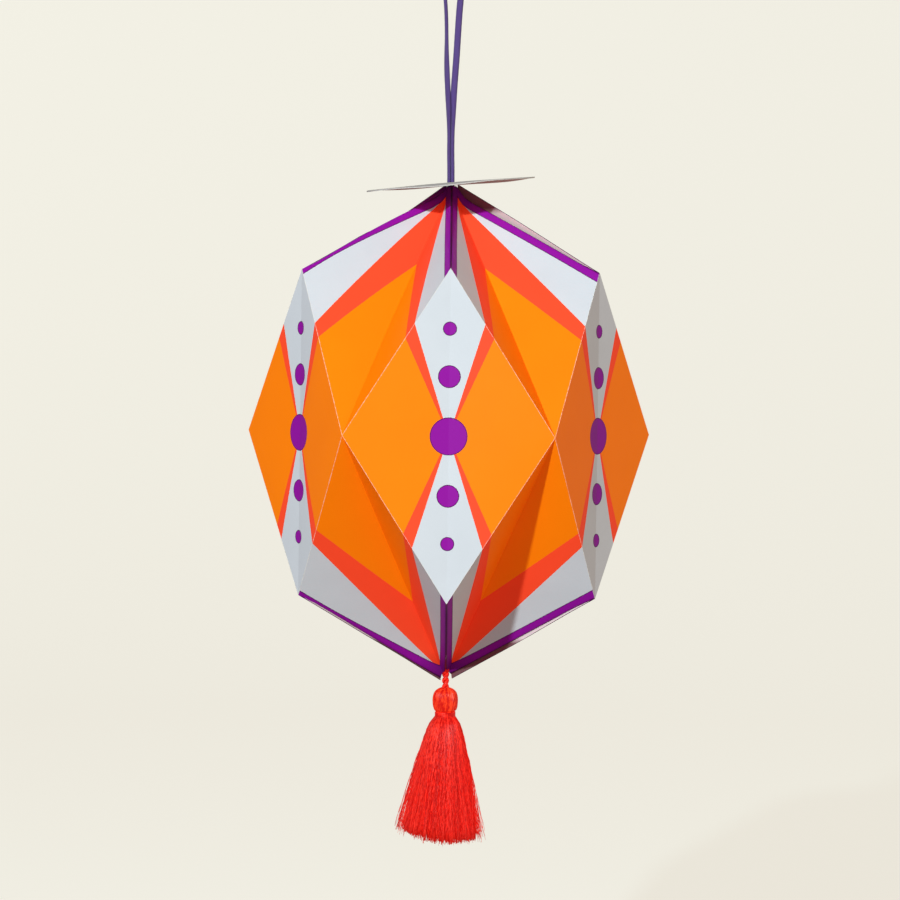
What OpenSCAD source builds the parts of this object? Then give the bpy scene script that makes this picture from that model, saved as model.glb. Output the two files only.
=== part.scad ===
// Hanging lantern folded from one printed card sheet, with a card disc on its top and a tassel below it.
// Units are millimetres. The origin is where the hanging loop bears on its hook, and +Z is up.
//
// The sheet is a row of gores. Laid flat, a gore is a tall hexagon: a belt between two shoulders on each
// side, and a pointed cap above and below. Its fold lines run from the equator point in its middle to the
// four shoulders and to the two tips. Every panel below is laid out flat first and then placed on its fold.

/* [Folded card] */
// Number of gores, the upright strips of the sheet
gores = 6; // [6:1:8]
// Distance from the axis to an equator point
equator_r = 100; // [85:1:115]
// How far a crease between two gores lies inside the line between their equator points
crease_dip = 3.4; // [2:0.1:6]
// Height of a shoulder, where such a crease ends, above the equator
shoulder_h = 79; // [68:1:92]
// Thickness of the card
card_t = 0.4; // [0.2:0.05:0.8]
// Distance of a gore's cut edge from the ridge that it shares with the next gore
edge_gap = 0.3; // [0.1:0.05:0.8]
// Distance from the axis to the corners of the opening between the blunt tips
tip_r = 2.9; // [2.8:0.1:4]
// Width of the glued tab inside the closing crease
tab_w = 8; // [4:0.5:14]
// Distance of the tab's ends from the shoulders
tab_inset = 6; // [2:0.5:20]

/* [Print] */
// Thickness of the printed fields
ink_t = 0.1; // [0.05:0.01:0.2]
// Unprinted hairline along the folds
fold_line = 0.1; // [0.05:0.01:0.3]
// Width of the border along the cut edges
border_w = 5; // [2:0.1:9]
// Length of the belt's fold, from a shoulder, that stays white
white_run = 31; // [20:0.5:36]
// Length of the same fold that the pointed band takes after it
band_run = 8; // [3:0.5:16]
// Distance from the equator point to the middle field's point on the gore's middle fold
field_reach = 106; // [70:1:120]
// Radius of the large dot at the middle of a crease between two gores
dot_large_r = 8.9; // [4:0.1:12]
// Radius of the two medium dots
dot_medium_r = 5.35; // [3:0.05:7]
// Radius of the two small dots
dot_small_r = 3.3; // [2:0.1:4.5]
// Height of a medium dot above the equator
dot_medium_h = 28.1; // [24:0.1:34]
// Height of a small dot above the equator
dot_small_h = 50.6; // [45:0.1:58]

/* [Top disc] */
// Diameter of the card disc that lies on the upper tips
disc_d = 84; // [50:1:120]
// Thickness of the disc
disc_t = 0.5; // [0.3:0.1:1]
// Diameter of the hole that the lace passes through
disc_hole_d = 4.6; // [4.4:0.1:6]
// Tilt of the disc towards the front
disc_pitch = 4; // [0:0.5:8]
// Tilt of the disc towards its left end
disc_roll = 6; // [0:0.5:10]
// Gap left between the disc and the tips, and between a knot and the card round it
seat_gap = 0.2; // [0.1:0.05:0.3]

/* [Hanging lace] */
// Width of the flat lace
lace_w = 3.4; // [2:0.1:3.6]
// Thickness of the flat lace
lace_t = 1.8; // [1:0.1:1.9]
// Drop from the hook to the upper tips
hang_drop = 135; // [130:1:140]
// Radius of the knot inside the upper tips
knot_r = 4.5; // [3.5:0.1:6]

/* [Tassel] */
// Diameter of the twisted cord that carries the tassel
twist_d = 3; // [1.5:0.1:4]
// Radius of the knot inside the lower tips
tassel_knot_r = 3.6; // [3:0.1:6]
// Gap between the lower tips and the tassel's head
tassel_gap = 5.5; // [2:0.5:15]
// Diameter of the head
head_d = 12.6; // [10:0.2:18]
// Height of the head
head_h = 12.2; // [8:0.2:18]
// Width of the flat ring on the head's top, round its cord
head_ledge = 0.4; // [0.2:0.1:1]
// Diameter of the neck below the head
neck_d = 8.4; // [5:0.2:9.6]
// Diameter of the thread binding round the neck
binding_d = 10.4; // [10:0.2:12]
// Height of the binding
binding_h = 3.2; // [2:0.2:6]
// Clearance between the neck and its binding
binding_gap = 0.1; // [0.05:0.05:0.2]
// Length of the skirt of threads
skirt_l = 62; // [35:1:90]
// Diameter of the skirt at its hem
skirt_d = 45; // [24:1:60]
// Depth of the flutes between the skirt's locks of thread, at the hem
flute_depth = 1.6; // [0.4:0.1:3]
// Number of locks round the skirt
skirt_locks = 18; // [10:1:24]
// Lean of the skirt to the left
skirt_lean = 1.7; // [0:0.1:4]

/* [Hidden] */

// Number of facets on the small round pieces
round_fn = 40;
// Margin by which a cutting solid passes the face that it cuts
cut = 1;
// Turn that brings one crease to the front
front_turn = -90 + 180 / gores;

// Half the angle of a gore as seen from above
half_gore = 180 / gores;
// Distance from the axis to a crease between two gores
crease_r = equator_r * cos(half_gore) - crease_dip;
// Half the width of a flat gore
gore_x = norm([equator_r * sin(half_gore), crease_dip]);
// Horizontal step from an equator point in to the middle of its shoulders
shoulder_step = equator_r - crease_r * cos(half_gore);
// Height of the point where all ridges would meet: only at this height does the folded gore stay flat
apex_h = equator_r * (shoulder_h ^ 2 - shoulder_step ^ 2) / (2 * shoulder_step * shoulder_h);
// Length of the gore's middle fold from the equator point to the uncut tip
fold_l = norm([equator_r, apex_h]);
// Length of the fold from the equator point to a shoulder
side_l = norm([gore_x, shoulder_h]);
// Half the angle of a flat gore's tip
tip_angle = atan2(gore_x, fold_l - shoulder_h);

// Corners of the folded gore, whose equator point lies on +X, for its upper side towards +Y
equator_pt = [equator_r, 0, 0];
shoulder_pt = [crease_r * cos(half_gore), crease_r * sin(half_gore), shoulder_h];
apex_pt = [0, 0, apex_h];

// Each panel's own axes on its fold: flat x, flat y and the outward normal
belt_x = ([shoulder_pt.x, shoulder_pt.y, 0] - equator_pt) / gore_x;
belt_y = [0, 0, 1];
belt_n = cross(belt_x, belt_y);
cap_y = (apex_pt - equator_pt) / fold_l;
cap_x = (shoulder_pt - equator_pt - shoulder_h * cap_y) / gore_x;
cap_n = cross(cap_x, cap_y);

// Corners of the flat gore, for the same side
shoulder_2d = [gore_x, shoulder_h];
apex_2d = [0, fold_l];
// Direction across the flat panel, from its cut edge towards the gore's middle fold
inward_2d = [-cos(tip_angle), -sin(tip_angle)];
// Share of the fold to the shoulder that is left once the cut edge is set back from the ridge
edge_share = 1 - edge_gap / (fold_l * sin(tip_angle));
// Corner of the cut edge on that fold
edge_2d = shoulder_2d * edge_share;
// Corners of the blunt tip, at the cut edge and on the middle fold
tip_edge_2d = apex_2d + (shoulder_2d - apex_2d) * tip_r / crease_r + inward_2d * edge_gap;
tip_mid_2d = apex_2d * (1 - tip_r * cos(half_gore) / equator_r);

// Height of the blunt tips, and of the lantern's equator in the part's frame
tip_h = apex_h - tip_r * (apex_h - shoulder_h) / crease_r;
equator_z = -hang_drop - tip_h;

// A point of a flat cap panel, brought onto its fold
function on_fold(p) = equator_pt + p.x * cap_x + p.y * cap_y;

// Normal of the upright plane through a ridge
ridge_n = [-sin(half_gore), cos(half_gore), 0];
// Normal of the cap panel on the other side of the middle fold
cap_n2 = [cap_n.x, -cap_n.y, cap_n.z];
// Step from the outer to the inner face for a card of unit thickness: at the equator point, at the
// shoulder, along a cut edge and along the middle fold, so that each panel keeps its thickness
equator_in = [-(1 / belt_n.x + 1 / cap_n.x) / 2, 0, 0];
shoulder_dir = [cos(half_gore), sin(half_gore), 0];
shoulder_dr = -1 / (belt_n * shoulder_dir);
shoulder_dz = (-1 - (cap_n * shoulder_dir) * shoulder_dr) / cap_n.z;
shoulder_in = shoulder_dir * shoulder_dr + [0, 0, shoulder_dz];
edge_in = -(cap_n - (cap_n * ridge_n) * ridge_n) / (1 - (cap_n * ridge_n) ^ 2);
middle_in = -(cap_n + cap_n2) / (1 + cap_n * cap_n2);

// Corners of one gore on the outer face (depth 0) or the inner face (depth card_t)
function equator_at(depth) = equator_pt + depth * equator_in;
function shoulder_at(depth) = shoulder_pt + depth * shoulder_in;
function edge_at(depth) = equator_at(depth) + edge_share * (shoulder_at(depth) - equator_at(depth));
function tip_edge_at(depth) = on_fold(tip_edge_2d) + depth * edge_in;
function tip_mid_at(depth) = on_fold(tip_mid_2d) + depth * middle_in;

function flip_y(p) = [p.x, -p.y, p.z];
function flip_z(p) = [p.x, p.y, -p.z];
function turn_z(p, a) = [p.x * cos(a) - p.y * sin(a), p.x * sin(a) + p.y * cos(a), p.z];

// The corners of a gore in the order that the face lists use
function gore_corners(depth) = [
    equator_at(depth),
    tip_mid_at(depth), flip_z(tip_mid_at(depth)),
    tip_edge_at(depth), flip_y(tip_edge_at(depth)),
    flip_z(tip_edge_at(depth)), flip_z(flip_y(tip_edge_at(depth))),
    edge_at(depth), flip_y(edge_at(depth)),
    flip_z(edge_at(depth)), flip_z(flip_y(edge_at(depth))),
    shoulder_at(depth), flip_z(shoulder_at(depth))
];
layer_n = len(gore_corners(0));

// Number of a corner in the whole shell: its gore, its layer (0 outer, 1 inner) and its place in the list
function corner(g, layer, i) = ((g + gores) % gores) * 2 * layer_n + layer * layer_n + i;

// Triangles of one gore's panels, each as corners [gore step, place], clockwise as seen from outside
PANELS = [
    [[0, 0], [0, 7], [0, 9]], [[0, 9], [0, 11], [0, 12]], [[0, 9], [0, 7], [0, 11]],
    [[0, 0], [0, 10], [0, 8]], [[0, 10], [-1, 12], [-1, 11]], [[0, 10], [-1, 11], [0, 8]],
    [[0, 0], [0, 1], [0, 7]], [[0, 7], [0, 1], [0, 3]],
    [[0, 0], [0, 8], [0, 1]], [[0, 8], [0, 4], [0, 1]],
    [[0, 0], [0, 9], [0, 2]], [[0, 9], [0, 5], [0, 2]],
    [[0, 0], [0, 2], [0, 10]], [[0, 10], [0, 2], [0, 6]]
];
// Free edges of one gore: those along the ridges and those of the blunt tips
EDGES = [
    [[0, 11], [0, 7]], [[0, 7], [0, 3]], [[0, 3], [0, 1]],
    [[0, 1], [0, 4]], [[0, 4], [0, 8]], [[0, 8], [-1, 11]],
    [[-1, 12], [0, 10]], [[0, 10], [0, 6]], [[0, 6], [0, 2]],
    [[0, 2], [0, 5]], [[0, 5], [0, 9]], [[0, 9], [0, 12]]
];

module folded_sheet() {
    pts = [for (g = [0 : gores - 1], depth = [0, card_t], p = gore_corners(depth))
        turn_z(p, g * 2 * half_gore)];
    outer = [for (g = [0 : gores - 1], t = PANELS) [for (c = t) corner(g + c[0], 0, c[1])]];
    inner = [for (g = [0 : gores - 1], t = PANELS)
        [for (k = [2, 1, 0]) corner(g + t[k][0], 1, t[k][1])]];
    rims = [for (g = [0 : gores - 1], e = EDGES, upper = [true, false])
        let (u = e[0], v = e[1])
        upper
            ? [corner(g + v[0], 0, v[1]), corner(g + u[0], 1, u[1]), corner(g + u[0], 0, u[1])]
            : [corner(g + v[0], 0, v[1]), corner(g + v[0], 1, v[1]), corner(g + u[0], 1, u[1])]];
    polyhedron(pts, concat(outer, inner, rims));
}

// Places a flat shape on the belt panel, or on the cap panel, of the gore on +X
module on_belt() {
    multmatrix([[belt_x.x, belt_y.x, belt_n.x, equator_pt.x],
        [belt_x.y, belt_y.y, belt_n.y, equator_pt.y],
        [belt_x.z, belt_y.z, belt_n.z, equator_pt.z]])
        children();
}

module on_cap() {
    multmatrix([[cap_x.x, cap_y.x, cap_n.x, equator_pt.x],
        [cap_x.y, cap_y.y, cap_n.y, equator_pt.y],
        [cap_x.z, cap_y.z, cap_n.z, equator_pt.z]])
        children();
}

// Repeats a half gore on both sides of its middle fold, round the whole lantern
module each_half_gore() {
    translate([0, 0, equator_z])
        for (g = [0 : gores - 1], side = [0, 1])
            rotate([0, 0, front_turn + g * 2 * half_gore])
                mirror([0, side, 0])
                    children();
}

// A triangle drawn in from its sides by a given distance, which moves it towards its inner circle's centre
module drawn_in(a, b, c, d) {
    la = norm(b - c);
    lb = norm(c - a);
    lc = norm(a - b);
    centre = (a * la + b * lb + c * lc) / (la + lb + lc);
    inner_r = abs(cross(b - a, c - a)) / (la + lb + lc);
    polygon([for (p = [a, b, c]) centre + (p - centre) * (1 - d / inner_r)]);
}

module belt_2d() drawn_in([0, 0], shoulder_2d, [gore_x, -shoulder_h], fold_line);

module cap_2d() intersection() {
    drawn_in([0, 0], shoulder_2d, apex_2d, fold_line);
    polygon([[0, 0], edge_2d, tip_edge_2d, tip_mid_2d]);
}

// Prints a flat pattern, given for half a gore, on every panel
module printed() {
    each_half_gore() {
        on_belt() linear_extrude(ink_t) intersection() {
            belt_2d();
            children();
        }
        for (end = [0, 1]) mirror([0, 0, end]) on_cap() linear_extrude(ink_t) intersection() {
            cap_2d();
            children();
        }
    }
}

// Corners of the printed fields on the flat half gore
crease_mid_2d = [gore_x, 0];
white_2d = shoulder_2d * (1 - white_run / side_l);
band_2d = shoulder_2d * (1 - (white_run + band_run) / side_l);
field_2d = [0, field_reach];
// Where the border's inner line meets the middle fold, and the point that it reaches on the belt's fold
border_mid_2d = apex_2d - [0, border_w / sin(tip_angle)];
border_end_2d = shoulder_2d * (1 - border_w / (fold_l * sin(tip_angle)));

function down(p) = [p.x, -p.y];

module dots_2d() {
    translate(crease_mid_2d) circle(r = dot_large_r, $fn = 2 * round_fn);
    for (s = [-1, 1]) {
        translate([gore_x, s * dot_medium_h]) circle(r = dot_medium_r, $fn = round_fn);
        translate([gore_x, s * dot_small_h]) circle(r = dot_small_r, $fn = round_fn);
    }
}

// The middle field: a star that spans the equator point, its four arms on the folds
module field_shape_2d() difference() {
    polygon([[0, 0], field_2d, band_2d, crease_mid_2d, down(band_2d), down(field_2d)]);
    dots_2d();
}

// The pointed band round it, on the belt and on the caps
module band_shape_2d() difference() {
    for (s = [1, -1]) polygon([for (p = [band_2d, crease_mid_2d, white_2d, border_mid_2d, field_2d])
        [p.x, s * p.y]]);
    dots_2d();
}

// The border along the cut edge, which only the caps have
module border_2d() intersection() {
    cap_2d();
    polygon([border_mid_2d, border_end_2d, shoulder_2d, apex_2d]);
}

module paper_shell() color("white") {
    translate([0, 0, equator_z]) rotate([0, 0, front_turn]) folded_sheet();
    closing_tab();
}

// The tab that closes the ring of gores, glued inside the crease to the right of the front
module closing_tab() {
    translate([0, 0, equator_z]) rotate([0, 0, front_turn + 2 * half_gore]) mirror([0, 1, 0]) on_belt()
        translate([0, 0, -2 * card_t]) linear_extrude(card_t * 1.1)
            polygon([[gore_x - card_t, tab_inset - shoulder_h],
                [gore_x - card_t, shoulder_h - tab_inset],
                [gore_x - tab_w, shoulder_h - tab_inset - tab_w],
                [gore_x - tab_w, tab_inset + tab_w - shoulder_h]]);
}

module print_orange() color("orange") printed() field_shape_2d();

module print_red() color("orangered") printed() band_shape_2d();

module print_purple() color("purple")
    each_half_gore()
        for (end = [0, 1]) mirror([0, 0, end]) on_cap() linear_extrude(ink_t) border_2d();

module print_dots() color("purple")
    each_half_gore()
        on_belt() linear_extrude(ink_t) intersection() {
            belt_2d();
            dots_2d();
        }

// The disc rests on the tips at the low side of its hole
disc_slope = norm([tan(disc_pitch), tan(disc_roll)]);
disc_z = -hang_drop + tip_r * disc_slope + seat_gap;

module top_disc() color("white")
    translate([0, 0, disc_z]) rotate([disc_pitch, -disc_roll, 0])
        difference() {
            cylinder(d = disc_d, h = disc_t, $fn = 3 * round_fn);
            translate([0, 0, -cut]) cylinder(d = disc_hole_d, h = disc_t + 2 * cut, $fn = round_fn);
        }

// Depth below the point of a cap at which a ball of radius r touches its folds, with a gap
function nest_depth(r) = (r + seat_gap) * fold_l / equator_r + card_t * norm(middle_in) * fold_l / equator_r;

// Share of a knot's radius at which its flat faces are cut for the cord
knot_face = 0.62;
// Height of the centre of the upper knot, and of the face on which the lace ends
knot_z = equator_z + apex_h - nest_depth(knot_r);
knot_top = knot_z + knot_r * sqrt(1 - knot_face ^ 2);
// The same for the tassel's knot, whose cord leaves it downwards
tassel_knot_z = equator_z - apex_h + nest_depth(tassel_knot_r);
tassel_knot_bottom = tassel_knot_z - tassel_knot_r * sqrt(1 - knot_face ^ 2);

// A knot: a ball with flat faces above and below, where the cord runs in
module knot(r) rotate_extrude($fn = round_fn) intersection() {
    circle(r = r, $fn = round_fn);
    translate([0, -r * sqrt(1 - knot_face ^ 2)]) square([r, 2 * r * sqrt(1 - knot_face ^ 2)]);
}

// Centre line of the lace's right-hand strand as [x, z], from above the tips to the top of the loop,
// by hand: side by side with the other strand at first, then opening into the loop
LACE = [[1, -126], [1, -118], [1, -110], [1.1, -102], [1.2, -94], [1.5, -86], [2, -78],
    [2.5, -70], [2.9, -62], [3.3, -54], [3.8, -46], [4.5, -38], [5.3, -30], [6.2, -22], [7.1, -14],
    [7.5, -8], [6.9, -4.2], [5.2, -1.4], [2.8, 0.2], [0, 0.9]];
lace_half = concat([[1, knot_top]], LACE);
lace_route = concat(lace_half, [for (i = [len(lace_half) - 2 : -1 : 0]) [-lace_half[i].x, lace_half[i].y]]);
// Number of sides of the lace's section
lace_sides = 8;

// A ring of the lace: its width lies along Y and its thickness across the route
function lace_ring(i) = let (
    n = len(lace_route) - 1,
    t = lace_route[min(i + 1, n)] - lace_route[max(i - 1, 0)],
    across = i == 0 || i == n ? [1, 0] * (i == 0 ? 1 : -1) : [t.y, -t.x] / norm(t),
    c = lace_route[i]
) [for (k = [0 : lace_sides - 1]) let (
        a = 360 * (k + 0.5) / lace_sides,
        q = c + across * (cos(a) * lace_t / 2 / cos(180 / lace_sides))
    ) [q.x, sin(a) * lace_w / 2 / cos(180 / lace_sides), q.y]];

module hanging_cord() color("darkslateblue") {
    n = len(lace_route);
    pts = [for (i = [0 : n - 1], p = lace_ring(i)) p];
    sides = [for (i = [0 : n - 2], k = [0 : lace_sides - 1])
        let (a = i * lace_sides + k, b = i * lace_sides + (k + 1) % lace_sides)
        [a, b, b + lace_sides, a + lace_sides]];
    first = [for (k = [lace_sides - 1 : -1 : 0]) k];
    last = [for (k = [0 : lace_sides - 1]) (n - 1) * lace_sides + k];
    polyhedron(pts, concat(sides, [first, last]));
}

module hanging_knot() color("darkslateblue") translate([0, 0, knot_z]) knot(knot_r);

// Heights of the tassel's head, binding and skirt, from the lower tips down
head_top = equator_z - tip_h - tassel_gap;
neck_top = head_top - head_h;
skirt_top = neck_top - binding_h;

module tassel_cord() color("crimson")
    translate([0, 0, head_top])
        cylinder(d = twist_d, h = tassel_knot_bottom - head_top, $fn = round_fn);

module tassel_knot() color("crimson") translate([0, 0, tassel_knot_z]) knot(tassel_knot_r);

// Radius of the head's flat top, on which its cord ends
head_flat_r = twist_d / 2 + head_ledge;
// How full the head's outline is: 1 is an oval, and less is squarer
head_fullness = 0.8;
// Number of steps in that outline
head_steps = 24;

// Radius of the head at angle a above its middle: never less than its flat top or its neck
function head_r(a) = max(head_d / 2 * cos(a) ^ head_fullness, a > 0 ? head_flat_r : neck_d / 2);

// The head, with the neck that the binding goes round
module tassel_head() color("red") {
    outline = [for (i = [0 : head_steps])
        let (a = -90 + 180 * i / head_steps)
        [head_r(a), neck_top + head_h / 2 * (1 + sin(a))]];
    rotate_extrude($fn = round_fn)
        polygon(concat([[0, skirt_top], [neck_d / 2, skirt_top]], outline, [[0, head_top]]));
}

module tassel_binding() color("firebrick")
    translate([0, 0, skirt_top]) difference() {
        cylinder(d = binding_d, h = binding_h, $fn = round_fn);
        translate([0, 0, -cut])
            cylinder(d = neck_d + 2 * binding_gap, h = binding_h + 2 * cut, $fn = round_fn);
    }

// Rings of the skirt, and points round each ring for every lock
skirt_rings = 9;
lock_points = 4;
// How quickly the skirt spreads below the binding: below 1 it spreads most at the top
skirt_spread = 0.75;

// Radius of the skirt at share t of its length and angle a: the flutes deepen towards the hem
function skirt_r(t, a) = binding_d / 2 + (skirt_d - binding_d) / 2 * t ^ skirt_spread
    - flute_depth * t * (0.5 - 0.5 * cos(skirt_locks * a));

module tassel_skirt() color("red") {
    m = skirt_locks * lock_points;
    pts = [for (i = [0 : skirt_rings], k = [0 : m - 1]) let (
            t = i / skirt_rings,
            a = 360 * k / m,
            r = skirt_r(t, a)
        ) [r * cos(a) - skirt_l * t * tan(skirt_lean), r * sin(a), -skirt_l * t]];
    sides = [for (i = [0 : skirt_rings - 1], k = [0 : m - 1])
        let (a = i * m + k, b = i * m + (k + 1) % m)
        [a, b, b + m, a + m]];
    first = [for (k = [m - 1 : -1 : 0]) k];
    last = [for (k = [0 : m - 1]) skirt_rings * m + k];
    translate([0, 0, skirt_top]) polyhedron(pts, concat(sides, [first, last]));
}

paper_shell();
print_orange();
print_red();
print_purple();
print_dots();
top_disc();
hanging_cord();
hanging_knot();
tassel_cord();
tassel_knot();
tassel_head();
tassel_binding();
tassel_skirt();
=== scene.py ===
# %% [markdown]
# # A hanging lantern of folded card
# The lantern's solids come packed as a fixed frame, in metres, with +Z up and the origin where its
# loop bears on a hook. Here it gets its looks: the printed card with its soft folds and curling cut
# edges, the woven lace, and the tassel with each of its threads. Each shape is a surface worked out
# with numpy, as a function of two parameters or as a profile carried along a path.

# %% Load the frame
import math

import bpy
import numpy as np
from mathutils import Matrix, Vector


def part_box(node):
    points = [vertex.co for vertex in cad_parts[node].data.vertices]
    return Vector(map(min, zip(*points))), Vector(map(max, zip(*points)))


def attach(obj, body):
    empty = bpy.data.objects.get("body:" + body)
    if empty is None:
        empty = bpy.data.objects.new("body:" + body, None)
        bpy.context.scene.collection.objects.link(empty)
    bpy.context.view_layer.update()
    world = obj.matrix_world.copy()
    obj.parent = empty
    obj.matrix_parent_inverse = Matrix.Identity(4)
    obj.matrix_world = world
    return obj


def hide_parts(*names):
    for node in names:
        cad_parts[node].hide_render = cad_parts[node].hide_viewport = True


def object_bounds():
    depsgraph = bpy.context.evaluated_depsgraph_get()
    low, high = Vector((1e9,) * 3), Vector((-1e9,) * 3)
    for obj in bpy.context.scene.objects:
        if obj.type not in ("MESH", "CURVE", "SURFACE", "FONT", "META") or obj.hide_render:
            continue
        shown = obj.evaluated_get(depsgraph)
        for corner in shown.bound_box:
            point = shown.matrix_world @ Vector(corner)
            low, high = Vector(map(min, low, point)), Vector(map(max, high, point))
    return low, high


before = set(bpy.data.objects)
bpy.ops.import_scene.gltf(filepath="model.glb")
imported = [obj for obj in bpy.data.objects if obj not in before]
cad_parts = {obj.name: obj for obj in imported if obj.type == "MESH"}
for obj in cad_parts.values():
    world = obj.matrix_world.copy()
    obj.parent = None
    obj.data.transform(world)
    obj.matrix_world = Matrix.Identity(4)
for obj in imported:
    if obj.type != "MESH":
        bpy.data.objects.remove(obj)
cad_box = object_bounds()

mm = 0.001
rng = np.random.default_rng(11)

# %% [markdown]
# The lantern is one sheet of six gores. Its few driving sizes are the ones that its maker would set:
# the radius and height come from the frame, and the shoulder's height and the dip of the creases
# between the gores are named here. Only one height of the apex keeps every gore flat, so it follows.

# %% Sizes of the folded card
shell_low, shell_high = (np.array(corner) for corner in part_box("paper_shell"))
equator_r = (shell_high[0] - shell_low[0]) / 2
equator_z = (shell_high[2] + shell_low[2]) / 2
tip_h = (shell_high[2] - shell_low[2]) / 2
gores = 6
half_gore = math.pi / gores
shoulder_h = 79 * mm
crease_dip = 3.4 * mm
card_t = 0.4 * mm
edge_gap = 0.15 * mm

crease_r = equator_r * math.cos(half_gore) - crease_dip
gore_x = math.hypot(equator_r * math.sin(half_gore), crease_dip)
shoulder_step = equator_r - crease_r * math.cos(half_gore)
apex_h = equator_r * (shoulder_h**2 - shoulder_step**2) / (2 * shoulder_step * shoulder_h)
fold_l = math.hypot(equator_r, apex_h)
side_l = math.hypot(gore_x, shoulder_h)
tip_angle = math.atan2(gore_x, fold_l - shoulder_h)
tip_r = crease_r * (apex_h - tip_h) / (apex_h - shoulder_h)
print(f"gore {2e3 * gore_x:.1f} x {2e3 * fold_l:.1f} mm flat, tips cut {tip_r / mm:.1f} mm from the axis")

# %% [markdown]
# The camera comes first, because all the rest is judged through it. It stands 1.4 m in front of the
# lantern, a touch above its middle, and was held with a roll of under a degree. Its lens gives the
# lantern the photograph's size, at two pixels a millimetre on the axis.

# %% Camera
camera_distance = 1.4
camera_tilt = math.radians(1.743)
camera_roll = math.radians(0.744)
photo_px = 900
px_per_m = 2002.5
sensor = 36.0
aim_right = -0.62 * mm
aim_up = 8.87 * mm

back = Vector((0, -math.cos(camera_tilt), math.sin(camera_tilt)))
level_up = Vector((0, math.sin(camera_tilt), math.cos(camera_tilt)))
right = math.cos(camera_roll) * Vector((1, 0, 0)) + math.sin(camera_roll) * level_up
up = math.cos(camera_roll) * level_up - math.sin(camera_roll) * Vector((1, 0, 0))
lantern_middle = Vector((0, 0, equator_z))

camera_data = bpy.data.cameras.new("camera")
camera_data.sensor_width = sensor
camera_data.lens = sensor * px_per_m * camera_distance / photo_px
camera = bpy.data.objects.new("camera", camera_data)
camera.matrix_world = Matrix((right, up, back)).transposed().to_4x4()
camera.location = lantern_middle - aim_right * right - aim_up * up + camera_distance * back
bpy.context.scene.collection.objects.link(camera)
bpy.context.scene.camera = camera
print("lens", round(camera_data.lens, 1), "mm")

# %% [markdown]
# Every piece is a grid of points that rows and columns of quads join. One helper makes the quads,
# closing the grid where it goes round, and another puts points, faces, a flat pattern map and a
# shade per point into a mesh object that stays at the origin.

# %% Grids and meshes
def grid_quads(rows, columns, closed_columns=False, closed_rows=False):
    """Corners of the quads of a grid: row i, column j is point i * columns + j, and a closed grid
    joins its last row or column to its first."""
    i, j = np.mgrid[0:rows if closed_rows else rows - 1, 0:columns if closed_columns else columns - 1]
    next_i = (i + 1) % rows
    next_j = (j + 1) % columns
    corners = [i * columns + j, i * columns + next_j, next_i * columns + next_j, next_i * columns + j]
    return np.stack(corners, -1).reshape(-1, 4)


def make_piece(name, points, faces, materials, flat=None, shade=None):
    """A mesh object of these points and faces; flat is a pattern place for each point, as its UV
    map, and shade a number for each point, as its attribute."""
    mesh = bpy.data.meshes.new(name)
    faces = [list(map(int, face)) for part in faces for face in part]
    mesh.from_pydata(np.asarray(points, float).reshape(-1, 3).tolist(), [], faces)
    corners = np.zeros(len(mesh.loops), int)
    mesh.loops.foreach_get("vertex_index", corners)
    if flat is not None:
        uv = mesh.uv_layers.new(name="flat")
        uv.data.foreach_set("uv", np.asarray(flat, float).reshape(-1, 2)[corners].ravel())
    if shade is not None:
        layer = mesh.attributes.new("shade", "FLOAT", "POINT")
        layer.data.foreach_set("value", np.asarray(shade, float).ravel())
    mesh.shade_smooth()
    for material in materials:
        mesh.materials.append(material)
    piece = bpy.data.objects.new(name, mesh)
    bpy.context.scene.collection.objects.link(piece)
    print(f"{name}: {len(mesh.vertices)} points, {len(mesh.polygons)} faces")
    return piece


# %% [markdown]
# Cords and threads are profiles carried along a path. The profile's first axis follows a given
# outward direction, so that a flat lace can lie, or twist, as the real one does.

# %% A profile carried along a path
def unit(v):
    """Vectors divided by their lengths."""
    return v / np.maximum(np.linalg.norm(v, axis=-1, keepdims=True), 1e-12)


def carry(path, outward, profile):
    """Points of a tube: at each path point, profile's first number goes along the outward direction,
    made square to the path, and its second along the direction square to both."""
    along = unit(np.gradient(path, axis=-2))
    beside = unit(np.cross(along, outward))
    out = np.cross(beside, along)
    return (path[..., None, :] + profile[..., 0, None] * out[..., None, :]
            + profile[..., 1, None] * beside[..., None, :])


def smooth_path(points, steps):
    """A curve through all points: between two of them it is the cubic whose slope at each is half
    the way from the point before to the point after."""
    p = np.asarray(points, float)
    p = np.concatenate([[2 * p[0] - p[1]], p, [2 * p[-1] - p[-2]]])
    t = (np.arange(steps) / steps)[None, :, None]
    a, b, c, d = (p[k : len(p) - 3 + k, None] for k in range(4))
    squares = (2 * a - 5 * b + 4 * c - d) * t**2
    cubes = (3 * b - a - 3 * c + d) * t**3
    curve = 0.5 * (2 * b + (c - a) * t + squares + cubes)
    return np.concatenate([curve.reshape(-1, 3), p[-2][None]])


# %% [markdown]
# Materials are written as sums on the pattern's own coordinates. These helpers make a material with
# one glossy shader, wire small sums, and turn a photograph's colour value into a linear one.

# %% Helpers for materials
def ink(r, g, b):
    """A colour given as 0 to 255 on a screen, as the linear colour that a shader takes."""
    screen = np.array([r, g, b]) / 255
    linear = np.where(screen <= 0.04045, screen / 12.92, ((screen + 0.055) / 1.055) ** 2.4)
    return (*linear.tolist(), 1.0)


def new_finish(name, roughness, specular=0.5, sheen=0.0):
    """A material with its tree, its shader, and plain values on the shader's own sockets."""
    material = bpy.data.materials.new(name)
    material.use_nodes = True
    tree = material.node_tree
    shader = tree.nodes["Principled BSDF"]
    shader.inputs["Roughness"].default_value = roughness
    shader.inputs["Specular IOR Level"].default_value = specular
    shader.inputs["Sheen Weight"].default_value = sheen
    return material, tree, shader


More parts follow.
